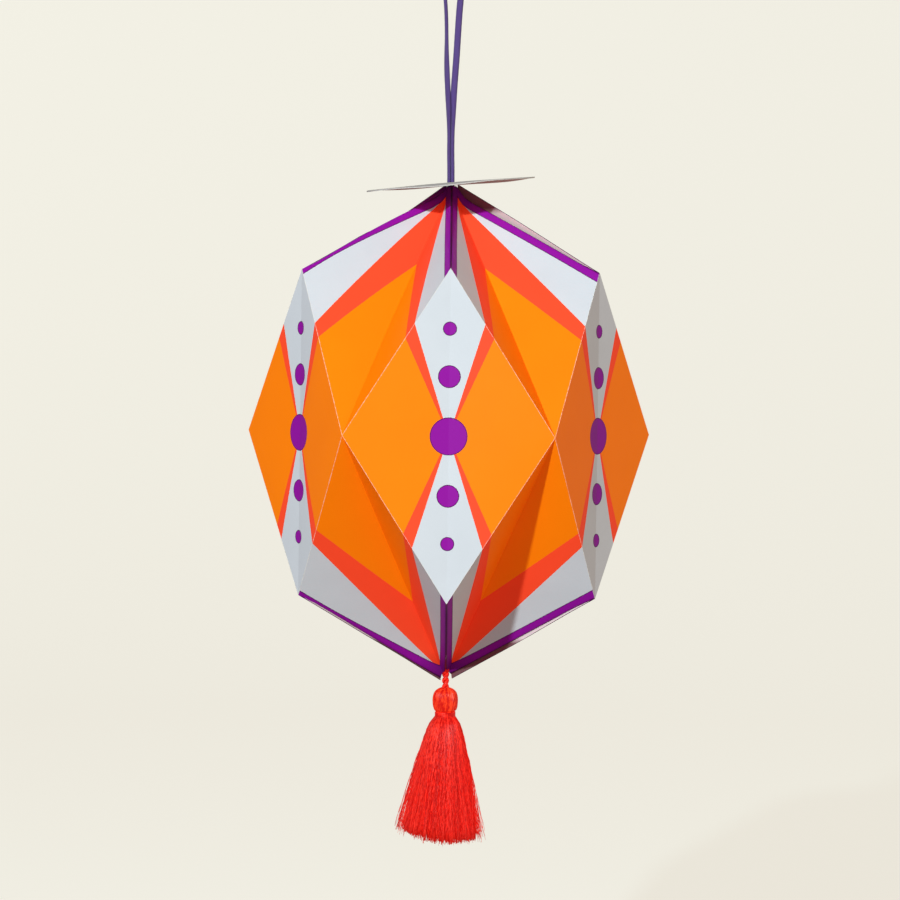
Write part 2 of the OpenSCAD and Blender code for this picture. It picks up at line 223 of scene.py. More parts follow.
def add_node(tree, kind, inputs=(), **settings):
    """A node with its settings, and its inputs given as values or as other nodes' outputs."""
    node = tree.nodes.new(kind)
    for name, value in settings.items():
        setattr(node, name, value)
    for key, value in dict(inputs).items():
        if isinstance(value, bpy.types.NodeSocket):
            tree.links.new(value, node.inputs[key])
        else:
            node.inputs[key].default_value = value
    return node


def sums(tree, operation, *values, clamp=False):
    """One step of arithmetic on up to three values."""
    node = add_node(tree, "ShaderNodeMath", enumerate(values), operation=operation, use_clamp=clamp)
    return node.outputs[0]


def blend_colours(tree, share, first, second, mode="MIX"):
    """first where share is 0 and second where it is 1."""
    inputs = {0: share, 6: first, 7: second}
    node = add_node(tree, "ShaderNodeMix", inputs, data_type="RGBA", blend_type=mode)
    return node.outputs[2]


def speckle(tree, where, scale, detail=2.0, roughness=0.5, stretch=(1, 1, 1)):
    """Soft noise around 0.5 that sits still on the piece."""
    mapping = add_node(tree, "ShaderNodeMapping", {"Vector": where, "Scale": stretch})
    inputs = {"Vector": mapping.outputs[0], "Scale": scale, "Detail": detail, "Roughness": roughness}
    return add_node(tree, "ShaderNodeTexNoise", inputs).outputs["Fac"]


def object_place(tree):
    """The point's place on the piece."""
    return tree.nodes.new("ShaderNodeTexCoord").outputs["Object"]


def add_bump(tree, shader, heights):
    """Layers of bump, each a height, its depth in metres and its strength."""
    normal = None
    for height, depth, strength in heights:
        inputs = {"Height": height, "Distance": depth, "Strength": strength}
        if normal is not None:
            inputs["Normal"] = normal
        normal = add_node(tree, "ShaderNodeBump", inputs).outputs[0]
    tree.links.new(normal, shader.inputs["Normal"])


# %% [markdown]
# The lace is a tubular braid pressed flat, doubled, with its two ends knotted inside the upper tips.
# It is held taut, so its strands lie side by side until they part into the loop just above the
# view. Its route repeats the solid's own points, and its strands lean up to a millimetre off it, where
# they press together. The right one turns its flat side to the front as it rises, by a twist.

# %% Lace: route
knot_z = (-130 * mm, -115 * mm)
taut_z = (-112 * mm, -86 * mm)
left_turns_z = (-80 * mm, -55 * mm)
left_parts_z = (-84 * mm, -46 * mm)
loop_z = (-36 * mm, -12 * mm)
free_z = (-36 * mm, -20 * mm)
lace_w = 3.4 * mm
lace_t = 1.9 * mm
lace_mm = [(1, -126), (1, -118), (1, -110), (1.1, -102), (1.2, -94), (1.5, -86), (2, -78),
           (2.5, -70), (2.9, -62), (3.3, -54), (3.8, -46), (4.5, -38), (5.3, -30), (6.2, -22), (7.1, -14),
           (7.5, -8), (6.9, -4.2), (5.2, -1.4), (2.8, 0.2), (0, 0.9)]
knot_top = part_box("hanging_knot")[1].z
strand = np.array([(1, knot_top / mm), *lace_mm]) * mm
lace_points = np.array([(x, 0, z) for x, z in strand] + [(-x, 0, z) for x, z in strand[-2::-1]])
lace_path = smooth_path(lace_points, 12)

# %% [markdown]
# Ten plaits cross the lace's face in a herringbone. The finish reads the pattern map, which holds
# the way round the lace and the way along it in millimetres, so the plaits follow the twist.

# %% Lace: finish
lace_finish, tree, shader = new_finish("woven_lace", roughness=0.62, specular=0.3, sheen=0.15)
shader.inputs["Sheen Roughness"].default_value = 0.4
lace_map = add_node(tree, "ShaderNodeUVMap", uv_map="flat")
lace_xy = add_node(tree, "ShaderNodeSeparateXYZ", {0: lace_map.outputs[0]})
plait_pitch = 1.1
folded = sums(tree, "PINGPONG", lace_xy.outputs[0], 0.9)
slant = sums(tree, "MULTIPLY_ADD", folded, 1.15, lace_xy.outputs[1])
plait = sums(tree, "PINGPONG", slant, plait_pitch / 2)
plait_height = sums(tree, "MULTIPLY", plait, 2 / plait_pitch)
yarn = speckle(tree, lace_map.outputs[0], 5.0, detail=3.0, stretch=(1.4, 0.5, 1))
uneven = speckle(tree, object_place(tree), 130.0)
# each plait is painted lighter on its crown and darker where it dips: painted highlight and shade
base = blend_colours(tree, plait_height, ink(58, 34, 94), ink(128, 96, 182))
base = blend_colours(tree, sums(tree, "MULTIPLY", yarn, 0.45), base, ink(64, 46, 106))
base = blend_colours(tree, sums(tree, "MULTIPLY", uneven, 0.25), base, ink(120, 104, 168))
tree.links.new(base, shader.inputs["Base Color"])
add_bump(tree, shader, [(plait_height, 0.25 * mm, 0.9), (yarn, 0.08 * mm, 0.6)])

# %% [markdown]
# The braid's section is a flattened oval with small swellings where the plaits cross. It's carried
# along the route, and the pattern map is laid out on it at the same time.

# %% Lace: shape
def soft_step(x, start, end):
    """0 before start, 1 after end, and a smooth rise between."""
    t = np.clip((x - start) / (end - start), 0, 1)
    return t * t * (3 - 2 * t)


def lace_surface(path, sides=28):
    """Round the lace, its section is a flattened oval: cos and sin to the power 0.8, times half its
    thickness and half its width. Along it, the plaits swell the section by a 30th, the strand
    turns by the twist angle, and it moves sideways by the lean."""
    angle = 2 * np.pi * np.arange(sides) / sides
    run = np.concatenate([[0], np.cumsum(np.linalg.norm(np.diff(path, axis=0), axis=1))])
    rising = path[:, 0] > 0
    z = path[:, 2]
    taut = soft_step(z, *taut_z)
    right_twist = 1.25 * taut * (1 - soft_step(z, *loop_z))
    left_twist = -0.7 * taut * (1 - soft_step(z, *left_turns_z))
    twist = np.where(rising, right_twist, left_twist)
    right_lean = -0.1 - 0.1 * taut
    left_lean = 0.1 - 0.5 * taut + 0.9 * soft_step(z, *left_parts_z)
    both_lean = -0.6 - 0.25 * soft_step(z, *knot_z)
    lean = (np.where(rising, right_lean, left_lean) + both_lean) * mm * (1 - soft_step(z, *free_z))
    drawn = path + lean[:, None] * [1, 0, 0]
    c = np.cos(angle)
    s = np.sin(angle)
    thick = np.sign(c) * np.abs(c) ** 0.8 * lace_t / 2
    wide = np.sign(s) * np.abs(s) ** 0.8 * lace_w / 2
    oval = np.stack([thick, wide], -1)
    plaits = 1 - 0.035 * np.cos(2 * np.pi * (run[:, None] / mm / plait_pitch + 2 * angle / np.pi)) ** 2
    profile = oval[None] * plaits[..., None]
    turn = np.stack([np.cos(twist), np.sin(twist)], -1)[:, None]
    profile = np.stack([profile[..., 0] * turn[..., 0] - profile[..., 1] * turn[..., 1],
                        profile[..., 0] * turn[..., 1] + profile[..., 1] * turn[..., 0]], -1)
    across = np.cross(np.gradient(path, axis=0), [0, 1.0, 0])
    round_way = np.minimum(angle, 2 * np.pi - angle) / np.pi * (lace_w + lace_t) / mm
    flat = np.stack(np.broadcast_arrays(round_way[None], run[:, None] / mm), -1)
    return carry(drawn, across, profile), flat


lace_grid, lace_flat = lace_surface(lace_path)
rows, sides = lace_grid.shape[:2]
lace_ends = [np.arange(sides)[None], (rows * sides - 1 - np.arange(sides))[None]]
lace = make_piece("hanging_lace", lace_grid, [grid_quads(rows, sides, closed_columns=True), *lace_ends],
                  [lace_finish], flat=lace_flat)
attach(lace, "root")
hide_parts("hanging_cord")
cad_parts["hanging_knot"].data.materials.clear()
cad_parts["hanging_knot"].data.materials.append(lace_finish)

# %% [markdown]
# The sheet is printed flat, before it is folded. So the print is drawn on the flat gore, in
# millimetres from the middle of its equator fold: straight lines through a few named points bound
# the orange field, the red band and the purple border, and circles on the creases make the dots.
# Left and right, top and bottom mirror each other, so the sums take the size of each coordinate.

# %% Print: its points on the flat gore
gore_w = gore_x / mm
shoulder = shoulder_h / mm
fold = fold_l / mm
side = side_l / mm
edge_reach = fold * math.sin(tip_angle)
border_w = 5.0
white_run = 31.0
band_run = 8.0
field_reach = 106.0
band_reach = 153.0
dots = [(0.0, 8.9), (28.1, 5.35), (50.6, 3.3)]

white_point = (gore_w * (1 - white_run / side), shoulder * (1 - white_run / side))
band_share = 1 - (white_run + band_run) / side
band_point = (gore_w * band_share, shoulder * band_share)
field_point = (0.0, field_reach)
band_top = (0.0, band_reach)
crease_point = (gore_w, 0.0)

# %% [markdown]
# A straight printed edge is where a x + b y + c changes sign, and a dot is where the distance to its
# middle is less than its radius. So each field of the print is a few sums on the flat pattern.

# %% Print: distances as sums
def beside_line(tree, x, y, first, second):
    """How far a place lies to the left of the line from first to second: a x + b y + c, with the
    line's own direction turned by a quarter."""
    dx = second[0] - first[0]
    dy = second[1] - first[1]
    length = math.hypot(dx, dy)
    a = -dy / length
    b = dx / length
    c = -(a * first[0] + b * first[1])
    return sums(tree, "MULTIPLY_ADD", x, a, sums(tree, "MULTIPLY_ADD", y, b, c))


def inside(tree, distance, soft=0.12):
    """1 where the distance is above 0 and 0 below, over a soft width in millimetres."""
    return sums(tree, "MULTIPLY_ADD", distance, 1 / soft, 0.5, clamp=True)


def print_places(tree):
    """The size of each flat coordinate, with the little wander that a printed edge has."""
    flat_map = add_node(tree, "ShaderNodeUVMap", uv_map="flat")
    flat = add_node(tree, "ShaderNodeSeparateXYZ", {0: flat_map.outputs[0]})
    wander = speckle(tree, flat_map.outputs[0], 1.2, detail=1.0)
    wobble = sums(tree, "MULTIPLY_ADD", wander, 0.16, -0.08)
    x = sums(tree, "ADD", sums(tree, "ABSOLUTE", flat.outputs[0]), wobble)
    y = sums(tree, "ADD", sums(tree, "ABSOLUTE", flat.outputs[1]), wobble)
    return flat_map.outputs[0], x, y


def dot_distance(tree, x, y):
    """How far inside the nearest dot a place lies: the largest of radius less distance."""
    across = sums(tree, "SUBTRACT", x, gore_w)
    squared = sums(tree, "MULTIPLY", across, across)
    depth = None
    for height, radius in dots:
        rise = sums(tree, "SUBTRACT", y, height)
        far = sums(tree, "SQRT", sums(tree, "MULTIPLY_ADD", rise, rise, squared))
        within = sums(tree, "SUBTRACT", radius, far)
        depth = within if depth is None else sums(tree, "MAXIMUM", depth, within)
    return depth


# %% [markdown]
# Coated card has a faint sheen, and its fibres show as a fine tooth. Where a fold runs through the
# print, a thin pale line is painted: partly ink that cracks at the fold, partly painted highlight where
# the fold catches the light. Each field's ink varies a little in strength. The orange and red fields
# get a faint red glow, painted light that keeps them bright even in shade. The purple border has a
# darker line along each side, and all ink is painted darker at the gore's tips, as painted shade.

# %% Printed card finish
white_card = ink(222, 225, 233)
orange_ink = ink(255, 140, 4)
red_ink = ink(255, 82, 48)
purple_ink = ink(156, 18, 168)
dark_rim = ink(84, 14, 84)
# painted light: a faint red glow on the orange and red fields, even where they lie in shade
painted_red_glow = (0.19, 0.004, 0.0, 1.0)
# width of the pale line along each fold, partly cracked ink and partly painted highlight
crack_highlight_width = 0.36
border_line = 0.4
# where and how much the ink is painted darker towards the tips: painted shade
print_tip_shade_from = 139
print_tip_shade_run = 18
print_tip_shade = 0.6

printed_card, tree, shader = new_finish("printed_card", roughness=0.5, specular=0.12)
card_flat, x, y = print_places(tree)
on_cap = inside(tree, beside_line(tree, x, y, (0, 0), (gore_w, shoulder)))
field_cap = inside(tree, beside_line(tree, x, y, band_point, field_point))
field_belt = inside(tree, beside_line(tree, x, y, crease_point, band_point))
band_cap = inside(tree, beside_line(tree, x, y, white_point, band_top))
band_belt = inside(tree, beside_line(tree, x, y, crease_point, white_point))
to_edge = beside_line(tree, x, y, (gore_w, shoulder), (0, fold))
border = sums(tree, "MULTIPLY", inside(tree, sums(tree, "SUBTRACT", border_w, to_edge)), on_cap)
field_share = add_node(tree, "ShaderNodeMix", {0: on_cap, 2: field_belt, 3: field_cap}).outputs[0]
band_share_here = add_node(tree, "ShaderNodeMix", {0: on_cap, 2: band_belt, 3: band_cap}).outputs[0]
dot_depth = dot_distance(tree, x, y)
dot_share = inside(tree, dot_depth)
rim_share = sums(tree, "MULTIPLY", dot_share, inside(tree, sums(tree, "SUBTRACT", 0.35, dot_depth), 0.2))
inner_line = inside(tree, sums(tree, "SUBTRACT", to_edge, border_w - border_line), 0.3)
outer_line = inside(tree, sums(tree, "SUBTRACT", 2.2 * border_line, to_edge), 0.3)
border_rim = sums(tree, "MULTIPLY", border, sums(tree, "MAXIMUM", inner_line, outer_line))
rim_share = sums(tree, "MAXIMUM", rim_share, sums(tree, "MULTIPLY", border_rim, 0.85))

card_place = object_place(tree)
clouds = speckle(tree, card_place, 45.0, detail=3.0)
fibres = speckle(tree, card_place, 2600.0, detail=3.0, roughness=0.6)
tooth = speckle(tree, card_place, 900.0, detail=2.0)
colour = blend_colours(tree, band_share_here, white_card, red_ink)
colour = blend_colours(tree, field_share, colour, orange_ink)
colour = blend_colours(tree, border, colour, purple_ink)
colour = blend_colours(tree, dot_share, colour, purple_ink)
colour = blend_colours(tree, rim_share, colour, dark_rim)
# a pale line along each fold: partly cracked ink, partly painted highlight
to_fold = sums(tree, "ABSOLUTE", beside_line(tree, x, y, (0, 0), (gore_w, shoulder)))
ragged_fold = sums(tree, "MULTIPLY_ADD", tooth, 0.5, to_fold)
crack_and_highlight = inside(tree, sums(tree, "SUBTRACT", crack_highlight_width, ragged_fold), 0.3)
pale = blend_colours(tree, 0.75, colour, ink(255, 250, 236))
colour = blend_colours(tree, sums(tree, "MULTIPLY", crack_and_highlight, 0.9), colour, pale)
strength = sums(tree, "MULTIPLY_ADD", clouds, 0.1, sums(tree, "MULTIPLY_ADD", fibres, 0.06, 0.92))
# painted shade: all ink darker towards the upper and lower tips
print_tip_shade_share = sums(tree, "MULTIPLY_ADD", y, 1 / print_tip_shade_run, -print_tip_shade_from / print_tip_shade_run, clamp=True)
strength = sums(tree, "MULTIPLY", strength, sums(tree, "MULTIPLY_ADD", print_tip_shade_share, -print_tip_shade, 1.0))
strength_colour = add_node(tree, "ShaderNodeCombineColor", {0: strength, 1: strength, 2: strength})
colour = blend_colours(tree, 1.0, colour, strength_colour.outputs[0], mode="MULTIPLY")
tree.links.new(colour, shader.inputs["Base Color"])
# where the orange and red fields lie, the card glows faintly red: painted light
painted_glow_share = sums(tree, "MULTIPLY", band_share_here, sums(tree, "SUBTRACT", 1, border))
painted_glow_share = sums(tree, "MULTIPLY", painted_glow_share, sums(tree, "SUBTRACT", 1, dot_share))
glow = blend_colours(tree, painted_glow_share, (0, 0, 0, 1), painted_red_glow)
tree.links.new(glow, shader.inputs["Emission Color"])
shader.inputs["Emission Strength"].default_value = 1.0
rough = sums(tree, "MULTIPLY_ADD", fibres, 0.12, 0.46)
inked = sums(tree, "MAXIMUM", band_share_here, sums(tree, "MAXIMUM", border, dot_share))
tree.links.new(sums(tree, "MULTIPLY_ADD", inked, -0.06, rough), shader.inputs["Roughness"])
add_bump(tree, shader, [(clouds, 0.6 * mm, 0.25), (tooth, 0.06 * mm, 0.35), (fibres, 0.02 * mm, 0.4)])

# %% [markdown]
# The back of the sheet is bare white card. It gets a faint warm glow, painted light that stands in
# for the light coming through the card. Its cut edges are painted nearly black, as painted shade of
# the slits between the gores, and at the upper and lower tips the back is painted dark, as painted shade.

# %% Bare card finish
# painted shade: a dark colour and a dimmer glow for the back near the tips
back_tip_shade_colour = ink(92, 26, 40)
back_tip_shade_glow = (0.02, 0.003, 0.005, 1)
# painted light: a warm glow on the card's back, standing in for light through the card
painted_through_glow = (0.07, 0.026, 0.026, 1)
back_shade_soft = 3 * mm


def bare_card(name, tint, shaded, glow_between=None):
    """Uncoated card: matt, with fibres and faint clouds. Where two heights are given, the card gets a
    painted glow between them, standing in for light that comes through the card, and beyond them
    painted shade darkens it."""
    material, tree, shader = new_finish(name, roughness=0.75, specular=0.25)
    place = object_place(tree)
    fibres = speckle(tree, place, 1800.0, detail=4.0, roughness=0.65)
    clouds = speckle(tree, place, 60.0, detail=3.0)
    mottle = sums(tree, "MULTIPLY_ADD", fibres, 0.6, sums(tree, "MULTIPLY", clouds, 0.4))
    colour = blend_colours(tree, sums(tree, "MULTIPLY", mottle, 0.3), tint, shaded)
    if glow_between is not None:
        low, high = glow_between
        z = add_node(tree, "ShaderNodeSeparateXYZ", {0: place}).outputs[2]
        # beyond the two heights the back is painted dark, as painted shade at the tips
        above = inside(tree, sums(tree, "SUBTRACT", z, high), back_shade_soft)
        below = inside(tree, sums(tree, "SUBTRACT", low, z), back_shade_soft)
        back_tip_shaded = sums(tree, "MAXIMUM", above, below)
        colour = blend_colours(tree, sums(tree, "MULTIPLY", back_tip_shaded, 0.9), colour, back_tip_shade_colour)
        glow = blend_colours(tree, back_tip_shaded, painted_through_glow, back_tip_shade_glow)
        tree.links.new(glow, shader.inputs["Emission Color"])
        shader.inputs["Emission Strength"].default_value = 1.0
    tree.links.new(colour, shader.inputs["Base Color"])
    add_bump(tree, shader, [(clouds, 0.5 * mm, 0.2), (fibres, 0.04 * mm, 0.5)])
    return material


glow_heights = (equator_z - 102 * mm, equator_z + 110 * mm)
card_back = bare_card("card_back", ink(228, 218, 220), ink(188, 178, 176), glow_between=glow_heights)
# the cut edges are painted nearly black, as painted shade of the slits between gores
painted_shade_edge = bare_card("painted_shade_edge", ink(72, 16, 74), ink(40, 8, 40))
disc_card = bare_card("disc_card", ink(214, 210, 208), ink(176, 168, 162))

# %% [markdown]
# A gore is a fan of six flat panels round its equator point: two on the belt and two on each cap.
# On the flat sheet a point is simply a share of the way from that middle to the gore's outline, so
# two parameters are enough: the share, and the way round the outline. A fold then only tilts each
# panel. On top come the things that make it card: panels that bow by a few tenths of a millimetre,
# cut edges that curl in, and gores whose tips don't all reach the same height.

# %% Folded card: outline of the flat gore
def half_outline(cap_steps=18, belt_steps=7):
    """The upper right quarter of the gore's outline, from the crease's middle up to the shoulder,
    along the cut edge, and across the blunt tip to the middle fold; each stretch is straight."""
    inward = np.array([-math.cos(tip_angle), -math.sin(tip_angle)])
    crease = np.array([gore_x, 0])
    corner = np.array([gore_x, shoulder_h])
    apex = np.array([0, fold_l])
    tip_edge = apex + (corner - apex) * tip_r / crease_r + inward * edge_gap
    tip_mid = apex * (1 - tip_r * math.cos(half_gore) / equator_r)
    stretches = [(crease, corner, belt_steps), (corner, tip_edge, cap_steps), (tip_edge, tip_mid, 2)]
    runs = [a + (b - a) * (np.arange(n) / n)[:, None] for a, b, n in stretches]
    return np.concatenate(runs + [[tip_mid]])


quarter = half_outline()
upper = np.concatenate([quarter, quarter[-2::-1] * [-1, 1]])
outline = np.concatenate([upper, upper[-2:0:-1] * [1, -1]])
shoulder_at = 7
tip_at = len(quarter) - 1
spokes = len(outline)
fold_spokes = [shoulder_at, tip_at, 2 * tip_at - shoulder_at]
fold_spokes += [2 * tip_at + shoulder_at, 3 * tip_at, 4 * tip_at - shoulder_at]
rim_steps = np.array([0, 0.35, 0.7, 1.05, 1.4, 1.8, 2.2, 2.7, 3.3, 4.2, 5.5]) * mm
coarse_rings = np.linspace(0, 1 - 9 * mm / (edge_reach * mm), 15)
rings = np.concatenate([coarse_rings, 1 - rim_steps[::-1] / (edge_reach * mm)])
print("outline", spokes, "spokes", len(rings), "rings")

# %% [markdown]
# Hand folding leaves no two gores alike. Each row here is a gore and each column one of its two
# sides: how far its upper and lower tips sink or stand up, how deep and wide its cut edges curl in,
# and how far the border's print has slipped from the cut. The front three follow the real one.

# %% Folded card: how each gore sits
gore_turn = 2 * half_gore * np.arange(gores)
top_drop = np.array([[-0.9, -0.9], [0, 0], [0, 0], [-2.8, -2.8], [2.3, 2.3], [2.8, 2.8]]) * mm
top_swell = np.array([0, 0, 0, -0.7, 1.5, 0]) * mm
top_rise = np.array([[0, 0], [0, 0], [0, 0], [0, 0], [3.0, 6.6], [6.6, 5.0]]) * mm
foot_drop = np.array([[-0.3, 0], [0, 0], [0, 0], [0, -2.9], [-2.2, 2.8], [2.8, 0.2]]) * mm
foot_curl = np.ones((gores, 2))
foot_curl[3, 1] = 0.1
foot_curl[0, 0] = 1.6
print_off = np.zeros((gores, 2))
print_off[4, 0] = 2.6 * mm
curl_depth = np.full((gores, 2), 0.9 * mm)
curl_depth[3, 1] = 4.2 * mm
curl_depth[0, 0] = -0.8 * mm
curl_width = np.full((gores, 2), 2.4 * mm)
curl_width[3, 1] = 5.5 * mm
curl_width[0, 0] = 5 * mm
curl_from = np.full((gores, 2), 1 * mm)
curl_from[3, 1] = 36 * mm
curl_full = np.full((gores, 2), 12 * mm)
curl_full[3, 1] = 68 * mm
curl_full[0, 0] = 60 * mm
bow = rng.uniform(-0.25, 0.45, (gores, 6)) * mm

# %% [markdown]
# The folded gore is worked out in one go for all its points: where the flat place lies once folded,
# then the bow, the curl and the tip's shift, and at last the turn to the gore's own side.

# %% Folded card: the folded surface
def folded_gore(number):
    """A gore's outer face, as ring by spoke. A flat place is ring share times outline point. With
    X and Y for the sizes of its coordinates, it lies at E + X belt_x + Y up on the belt and at
    E + X cap_x + Y cap_y on a cap. It then moves along the panel's normal by its bow, which is 0 on
    every fold, and down inside the ridge by its curl, which grows with the square of how far it is
    past the curl's start; a cap's tip shift fades linearly to 0 on the belt's fold."""
    flat = rings[:, None, None] * outline[None]
    sign = np.where(flat < 0, -1.0, 1.0)
    size = np.abs(flat)
    equator = np.array([equator_r, 0, 0])
    corner = np.array([crease_r * math.cos(half_gore), crease_r * math.sin(half_gore), shoulder_h])
    belt_x = (corner * [1, 1, 0] - equator) / gore_x
    cap_y = np.array([-equator_r, 0, apex_h]) / fold_l
    cap_x = (corner - equator - shoulder_h * cap_y) / gore_x
    cap_n = np.cross(cap_x, cap_y)
    belt_n = np.cross(belt_x, [0, 0, 1.0])
    lift = (size[..., 1] * gore_x - size[..., 0] * shoulder_h) / (fold_l * gore_x)
    cap = (lift > 1e-9)[..., None]
    place = np.where(cap, equator + size[..., :1] * cap_x + size[..., 1:] * cap_y,
                     equator + size[..., :1] * belt_x + size[..., 1:] * np.array([0, 0, 1.0]))
    normal = np.where(cap, cap_n, belt_n)
    spoke = np.arange(spokes)
    panel = np.searchsorted(fold_spokes, spoke, side="right") % 6
    starts = np.array([fold_spokes[-1] - spokes, *fold_spokes[:-1]])[panel]
    width = np.diff([fold_spokes[-1] - spokes, *fold_spokes])[panel]
    way = ((spoke - starts) % spokes) / width
    belly = np.where(panel % 3 == 0, np.sin(np.pi * rings[:, None]), np.sin(np.pi / 2 * rings[:, None]) ** 2)
    rise = bow[number][panel] * np.sin(np.pi * way) * belly
    to_cut = (fold_l - shoulder_h) * math.sin(tip_angle) - size[..., 0] * math.cos(tip_angle) \
        - (size[..., 1] - shoulder_h) * math.sin(tip_angle)
    side_number = (flat[..., 0] > 0).astype(int)
    curl_start = curl_width[number][side_number]
    from_corner = np.linalg.norm(outline * sign[-1] - [gore_x, shoulder_h], axis=-1)
    fade = soft_step(from_corner, curl_from[number][side_number], curl_full[number][side_number])
    curl = curl_depth[number][side_number] * fade * np.clip(1 - to_cut / curl_start, 0, 1) ** 2 * cap[..., 0]
    curl = curl * np.where(flat[..., 1] > 0, 1, foot_curl[number][side_number])
    ridge_n = np.array([-math.sin(half_gore), math.cos(half_gore), 0])
    sink = -unit(cap_n - (cap_n @ ridge_n) * ridge_n)
    point = place + rise[..., None] * normal + curl[..., None] * sink
    lift = np.clip(lift, 0, None)
    aside = np.clip(flat[..., 0] / ((fold_l - size[..., 1]) * math.tan(tip_angle)), -1, 1)[..., None]
    by_side = np.concatenate([1 - aside, 1 + aside], -1) / 2
    drop = np.where(flat[..., 1] > 0, by_side @ top_drop[number], by_side @ foot_drop[number]) * lift**1.5
    stand = 4 * top_swell[number] * lift * (1 - lift)
    stand = stand + by_side @ top_rise[number] * soft_step(lift, 0.88, 1.0)
    drop = drop - np.where(flat[..., 1] > 0, stand, 0)
    point[..., 2] -= drop
    point[..., 1:] *= sign
    near = (1 - soft_step(to_cut, 6 * mm, 12 * mm)) * (1 - soft_step(from_corner, 10 * mm, 85 * mm))
    off = print_off[number][side_number] * near
    printed = flat - sign * off[..., None] * np.array([gore_x, shoulder_h]) / side_l
    turn = gore_turn[number]
    turned = np.stack([point[..., 0] * math.cos(turn) - point[..., 1] * math.sin(turn),
                       point[..., 0] * math.sin(turn) + point[..., 1] * math.cos(turn),
                       point[..., 2] + equator_z], -1)
    return turned, printed / mm


# %% [markdown]
# The gores meet along the creases of the belt, and each gore's fan meets itself at its pole. Points
# that coincide become one, so the sheet closes there and stays open only along its cut edges.
# Folds and cut edges are marked sharp: an edge is one where both its ends carry the same mark.

# %% Folded card: one sheet from six gores
def joined(points, marks):
    """Points that coincide to a micrometre made one, their marks put together, and the new number of
    each old point."""
    rounded, first, number = np.unique(np.round(points / 1e-6).astype(np.int64), axis=0,
                                       return_index=True, return_inverse=True)
    together = np.zeros(len(rounded), np.int64)
    np.bitwise_or.at(together, number.ravel(), marks)
    return points[first], together, number.ravel()


def gore_marks(number):
    """A bit for each fold that a point lies on: one for each of the gore's spokes, one for the
    crease on each side, shared with the next gore, and one for all cut edges."""
    marks = np.zeros((len(rings), spokes), np.int64)
    for place, spoke in enumerate(fold_spokes):
        marks[:, spoke] |= 1 << (6 * number + place)
    marks[0] |= sum(1 << (6 * number + place) for place in range(6))
    spoke = np.arange(spokes)
    right_crease = (spoke <= shoulder_at) | (spoke >= fold_spokes[-1])
    left_crease = (spoke >= fold_spokes[2]) & (spoke <= fold_spokes[3])
    marks[-1, right_crease] |= 1 << (36 + number)
    marks[-1, left_crease] |= 1 << (36 + (number - 1) % gores)
    upper_cap = (spoke >= shoulder_at) & (spoke <= fold_spokes[2])
    lower_cap = (spoke >= fold_spokes[3]) & (spoke <= fold_spokes[5])
    marks[-1, upper_cap | lower_cap] |= 1 << 42
    return marks


gore_faces = grid_quads(len(rings), spokes, closed_columns=True)[:, ::-1]
all_points = []
all_flat = []
all_marks = []
for number in range(gores):
    surface, flat = folded_gore(number)
    all_points.append(surface.reshape(-1, 3))
    all_flat.append(flat.reshape(-1, 2))
    all_marks.append(gore_marks(number).ravel())
sheet_points, sheet_marks, number_of = joined(np.concatenate(all_points), np.concatenate(all_marks))
step = len(rings) * spokes
quads = np.concatenate([gore_faces + step * number for number in range(gores)])
welded = number_of[quads]
fan = welded[:, 2] == welded[:, 3]
fan_faces = welded[fan][:, :3]
fan_flat = quads[fan][:, :3]

card = make_piece("folded_card", sheet_points, [welded[~fan], fan_faces],
                  [printed_card, card_back, painted_shade_edge])
flat_of = np.concatenate(all_flat)
uv = card.data.uv_layers.new(name="flat")
uv.data.foreach_set("uv", flat_of[np.concatenate([quads[~fan].ravel(), fan_flat.ravel()])].ravel())
edge_ends = np.zeros(2 * len(card.data.edges), int)
card.data.edges.foreach_get("vertices", edge_ends)
edge_ends = edge_ends.reshape(-1, 2)
sharp = (sheet_marks[edge_ends[:, 0]] & sheet_marks[edge_ends[:, 1]]) != 0
card.data.attributes.new("sharp_edge", "BOOLEAN", "EDGE").data.foreach_set("value", sharp)
thickness = card.modifiers.new("card thickness", "SOLIDIFY")
thickness.thickness = card_t
thickness.offset = -1
thickness.use_even_offset = True
thickness.material_offset = 1
thickness.material_offset_rim = 2
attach(card, "root")
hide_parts("paper_shell", "print_orange", "print_red", "print_purple", "print_dots")
print("sharp edges", int(sharp.sum()))

# %% [markdown]
# The disc is a thin card washer threaded on the lace. It rests on the tips, tipped a little to the
# front and to the left, and handling has left it slightly wavy.

# %% Top disc
disc_r = 42 * mm
disc_hole_r = 2.3 * mm
disc_t = 0.5 * mm
disc_pitch = math.radians(3.2)
disc_roll = math.radians(5.4)
disc_dome = 0.9 * mm
disc_lift = 0.4 * mm
disc_aside = -0.6 * mm
disc_low, disc_high = (np.array(corner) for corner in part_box("top_disc"))
disc_middle = Vector((disc_low + disc_high) / 2)


def disc_surface(rounds=14, steps=120):
    """From hole to rim and round: both faces, the lower one first, so that the grid's rows go out
    below and back in above. The height waves with twice and three times the angle, more towards
    the rim."""
    share = np.concatenate([np.linspace(0, 1, rounds), np.linspace(1, 0, rounds)])[:, None]
    face = np.repeat([-0.5, 0.5], rounds)[:, None] * disc_t
    angle = 2 * np.pi * np.arange(steps)[None] / steps
    radius = disc_hole_r + (disc_r - disc_hole_r) * share
    wave = 0.25 * mm * share**2 * np.cos(2 * angle + 0.7) + 0.25 * mm * share**3 * np.cos(5 * angle - 1.0)
    wave = wave + disc_dome * (1 - share**2)
    return np.stack([radius * np.cos(angle), radius * np.sin(angle), face + wave], -1)


